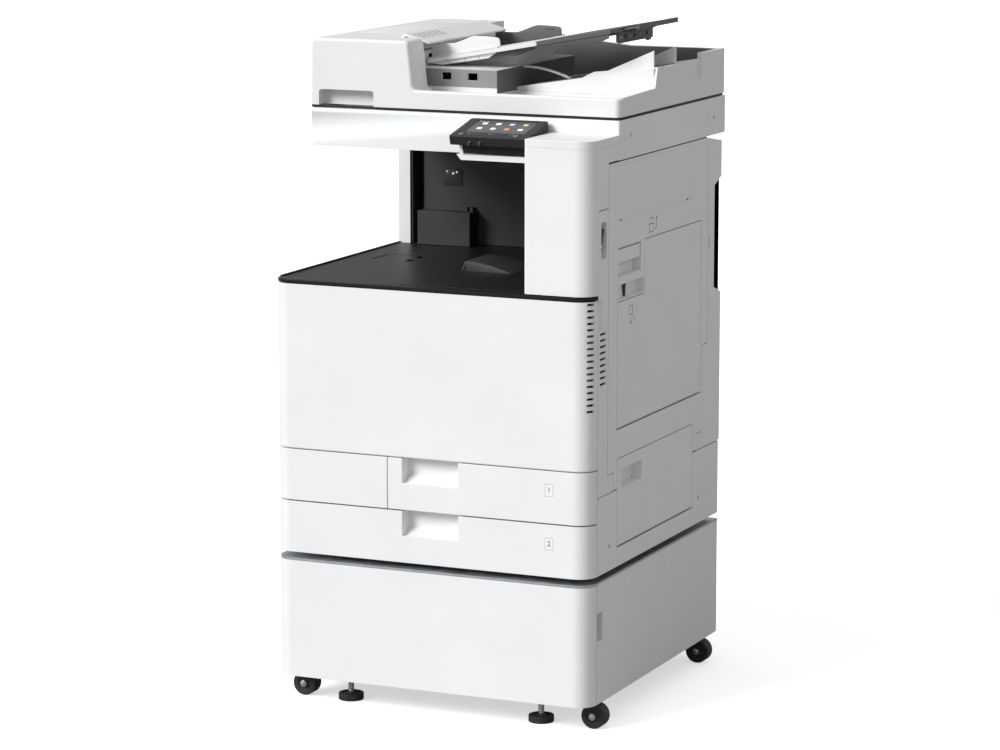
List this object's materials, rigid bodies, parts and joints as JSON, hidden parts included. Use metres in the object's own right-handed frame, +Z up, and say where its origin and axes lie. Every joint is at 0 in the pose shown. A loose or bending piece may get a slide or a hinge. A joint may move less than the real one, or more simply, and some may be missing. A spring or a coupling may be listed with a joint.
{
  "type": "photocopier",
  "caption": "Floor-standing office photocopier with document feeder, tilting panel, drawers, side doors and wheeled pedestal",
  "frame": {"origin": "centre of the overall box on the floor, so the cabinet's middle is 3.5 mm to the left of it, because the right casters stand out", "axes": "+Z up, +X towards the operator's right, +Y from the front covers to the back"},
  "size_m": [0.572, 0.5978, 1.1231],
  "materials": {
    "white_cover": "fine grained satin",
    "white_feeder": "fine grained satin",
    "black_tray": "grained matte",
    "dark_inner": "grained matte",
    "dark_feeder": "grained matte",
    "panel_black": "satin",
    "screen": "polished",
    "key_plastic": "satin",
    "bin_grey": "satin",
    "frame_steel": "zinc coated",
    "pin_steel": "turned",
    "fork_steel": "satin",
    "tyre_black": "matt",
    "foot_black": "satin",
    "clear_glass": "polished",
    "toner_plastic": "satin",
    "drum_green": "polished",
    "belt_film": "satin",
    "unit_black": "matt",
    "board_metal": "satin",
    "inlet_black": "matt"
  },
  "bodies": {
    "root": {"pedestal_frame": "frame_steel", "pedestal_panels": "white_cover", "main_frame": "frame_steel", "rear_cover": "white_cover", "power_inlet": "inlet_black", "left_cover": "white_cover", "side_strip": "white_cover", "right_lower_cover": "white_cover", "right_rear_cover": "white_cover", "blank_panel": "white_cover", "delivery_tray": "black_tray", "cavity_wall": "dark_inner", "tower_cover": "white_cover", "scanner_housing": "white_cover", "platen_glass": "clear_glass", "screws": "pin_steel", "feeder_hinges": "pin_steel", "toner_bottles": "toner_plastic", "drum_units": "drum_green", "transfer_belt_unit": "belt_film", "laser_unit": "unit_black", "fuser_unit": "unit_black", "electronics": "board_metal"},
    "pedestal_door": {"pedestal_door": "white_cover"},
    "drawer_1": {"drawer_1_front": "white_cover", "drawer_1_bin": "bin_grey"},
    "drawer_2": {"drawer_2_front": "white_cover", "drawer_2_bin": "bin_grey"},
    "front_cover": {"front_cover": "white_cover"},
    "stopper_flap": {"stopper_flap": "black_tray"},
    "control_panel": {"control_panel": "panel_black", "touch_screen": "screen"},
    "home_key": {"home_key": "key_plastic"},
    "start_key": {"start_key": "key_plastic"},
    "scan_carriage": {"scan_carriage": "unit_black"},
    "right_door": {"right_door": "white_cover"},
    "bypass_tray": {"bypass_tray": "white_cover"},
    "bypass_extension": {"bypass_extension": "bin_grey"},
    "latch_lever": {"latch_lever": "white_cover"},
    "lower_right_door": {"lower_right_door": "white_cover"},
    "power_switch": {"power_switch": "inlet_black"},
    "feeder": {"feeder_base": "white_feeder", "feed_rollers": "tyre_black", "document_table": "white_feeder"},
    "feeder_cover": {"feeder_cover": "white_feeder"},
    "document_tray": {"document_tray": "dark_feeder"},
    "tray_extension": {"tray_extension": "dark_feeder"},
    "front_guide": {"front_guide": "white_feeder"},
    "rear_guide": {"rear_guide": "dark_feeder"},
    "stopper_lever": {"stopper_lever": "white_feeder"},
    "levelling_foot_left": {"levelling_foot_left": "foot_black"},
    "levelling_foot_right": {"levelling_foot_right": "foot_black"},
    "caster_fork_front_right": {"caster_fork_front_right": "fork_steel"},
    "caster_wheel_front_right": {"caster_wheel_front_right": "tyre_black"},
    "caster_fork_front_left": {"caster_fork_front_left": "fork_steel"},
    "caster_wheel_front_left": {"caster_wheel_front_left": "tyre_black"},
    "caster_fork_rear_right": {"caster_fork_rear_right": "fork_steel"},
    "caster_wheel_rear_right": {"caster_wheel_rear_right": "tyre_black"},
    "caster_fork_rear_left": {"caster_fork_rear_left": "fork_steel"},
    "caster_wheel_rear_left": {"caster_wheel_rear_left": "tyre_black"}
  },
  "joints": [
    {"name": "pedestal_door_hinge", "type": "hinge", "parent": "root", "child": "pedestal_door", "pos_m": [-0.2795, -0.2769, 0.144], "axis": [0, 0, -1], "range_deg": [0, 95]},
    {"name": "drawer_1_slide", "type": "slide", "parent": "root", "child": "drawer_1", "axis": [0, -1, 0], "range_m": [0, 0.44]},
    {"name": "drawer_2_slide", "type": "slide", "parent": "root", "child": "drawer_2", "axis": [0, -1, 0], "range_m": [0, 0.44]},
    {"name": "front_cover_hinge", "type": "hinge", "parent": "root", "child": "front_cover", "pos_m": [-0.0035, -0.2934, 0.4375], "axis": [1, 0, 0], "range_deg": [0, 90]},
    {"name": "stopper_flap_hinge", "type": "hinge", "parent": "root", "child": "stopper_flap", "pos_m": [-0.2343, 0.0051, 0.7101], "axis": [0, -1, 0], "range_deg": [0, 80]},
    {"name": "panel_tilt", "type": "hinge", "parent": "root", "child": "control_panel", "pos_m": [0.0905, -0.2489, 0.938], "axis": [1, 0, 0], "range_deg": [0, 30]},
    {"name": "home_key_press", "type": "slide", "parent": "control_panel", "child": "home_key", "axis": [0, 0.2175, -0.9761], "range_m": [0, 0.001], "stiffness_N_per_m": 300},
    {"name": "start_key_press", "type": "slide", "parent": "control_panel", "child": "start_key", "axis": [0, 0.2175, -0.9761], "range_m": [0, 0.001], "stiffness_N_per_m": 300},
    {"name": "carriage_slide", "type": "slide", "parent": "root", "child": "scan_carriage", "axis": [1, 0, 0], "range_m": [0, 0.38]},
    {"name": "right_door_hinge", "type": "hinge", "parent": "root", "child": "right_door", "pos_m": [0.2755, 0.2167, 0.65], "axis": [0, 0, 1], "range_deg": [0, 85]},
    {"name": "bypass_hinge", "type": "hinge", "parent": "right_door", "child": "bypass_tray", "pos_m": [0.275, 0.0001, 0.4875], "axis": [0, 1, 0], "range_deg": [0, 78]},
    {"name": "bypass_extension_slide", "type": "slide", "parent": "bypass_tray", "child": "bypass_extension", "axis": [0, 0, 1], "range_m": [0, 0.12]},
    {"name": "latch_lever_hinge", "type": "hinge", "parent": "right_door", "child": "latch_lever", "pos_m": [0.275, -0.1359, 0.772], "axis": [0, -1, 0], "range_deg": [0, 22], "stiffness_Nm_per_rad": 0.1},
    {"name": "lower_door_hinge", "type": "hinge", "parent": "root", "child": "lower_right_door", "pos_m": [0.275, -0.01415, 0.293], "axis": [0, 1, 0], "range_deg": [0, 75]},
    {"name": "power_switch_rocker", "type": "hinge", "parent": "root", "child": "power_switch", "pos_m": [0.2675, -0.2449, 0.79825], "axis": [0, -1, 0], "range_deg": [0, 14]},
    {"name": "feeder_hinge", "type": "hinge", "parent": "root", "child": "feeder", "pos_m": [-0.0035, 0.2946, 0.993], "axis": [-1, 0, 0], "range_deg": [0, 70]},
    {"name": "feeder_cover_hinge", "type": "hinge", "parent": "feeder", "child": "feeder_cover", "pos_m": [-0.2655, 0.0551, 1.077], "axis": [0, -1, 0], "range_deg": [0, 75]},
    {"name": "document_tray_fold", "type": "hinge", "parent": "feeder", "child": "document_tray", "pos_m": [0.0805, 0.0811, 1.08923], "axis": [0, -1, 0], "range_deg": [0, 35]},
    {"name": "tray_extension_slide", "type": "slide", "parent": "document_tray", "child": "tray_extension", "axis": [0.9842, 0, 0.1771], "range_m": [-0.021, 0.06]},
    {"name": "front_guide_slide", "type": "slide", "parent": "feeder", "child": "front_guide", "axis": [0, 1, 0], "range_m": [-0.003, 0.1]},
    {"name": "rear_guide_slide", "type": "slide", "parent": "feeder", "child": "rear_guide", "axis": [0, 1, 0], "range_m": [-0.1, 0.003]},
    {"name": "stopper_lever_hinge", "type": "hinge", "parent": "feeder", "child": "stopper_lever", "pos_m": [0.0285, 0.0081, 1.045], "axis": [0, -1, 0], "range_deg": [0, 22]},
    {"name": "caster_swivel_front_right", "type": "hinge", "parent": "root", "child": "caster_fork_front_right", "pos_m": [0.2485, -0.2379, 0.044], "axis": [0, 0, 1], "continuous": true},
    {"name": "caster_roll_front_right", "type": "hinge", "parent": "caster_fork_front_right", "child": "caster_wheel_front_right", "pos_m": [0.2655, -0.2379, 0.0205], "axis": [0, 1, 0], "continuous": true},
    {"name": "caster_swivel_front_left", "type": "hinge", "parent": "root", "child": "caster_fork_front_left", "pos_m": [-0.2415, -0.2379, 0.044], "axis": [0, 0, 1], "continuous": true},
    {"name": "caster_roll_front_left", "type": "hinge", "parent": "caster_fork_front_left", "child": "caster_wheel_front_left", "pos_m": [-0.2585, -0.2379, 0.0205], "axis": [0, 1, 0], "continuous": true},
    {"name": "caster_swivel_rear_right", "type": "hinge", "parent": "root", "child": "caster_fork_rear_right", "pos_m": [0.2485, 0.2311, 0.044], "axis": [0, 0, 1], "continuous": true},
    {"name": "caster_roll_rear_right", "type": "hinge", "parent": "caster_fork_rear_right", "child": "caster_wheel_rear_right", "pos_m": [0.2655, 0.2311, 0.0205], "axis": [0, 1, 0], "continuous": true},
    {"name": "caster_swivel_rear_left", "type": "hinge", "parent": "root", "child": "caster_fork_rear_left", "pos_m": [-0.2415, 0.2311, 0.044], "axis": [0, 0, 1], "continuous": true},
    {"name": "caster_roll_rear_left", "type": "hinge", "parent": "caster_fork_rear_left", "child": "caster_wheel_rear_left", "pos_m": [-0.2585, 0.2311, 0.0205], "axis": [0, 1, 0], "continuous": true},
    {"name": "levelling_foot_turn_left", "type": "hinge", "parent": "root", "child": "levelling_foot_left", "pos_m": [-0.1765, -0.2379, 0.011], "axis": [0, 0, 1], "continuous": true},
    {"name": "levelling_foot_turn_right", "type": "hinge", "parent": "root", "child": "levelling_foot_right", "pos_m": [0.1695, -0.2379, 0.011], "axis": [0, 0, 1], "continuous": true}
  ],
  "couplings": [
    {"joint": "rear_guide_slide", "follows": "front_guide_slide", "ratio": -1}
  ]
}
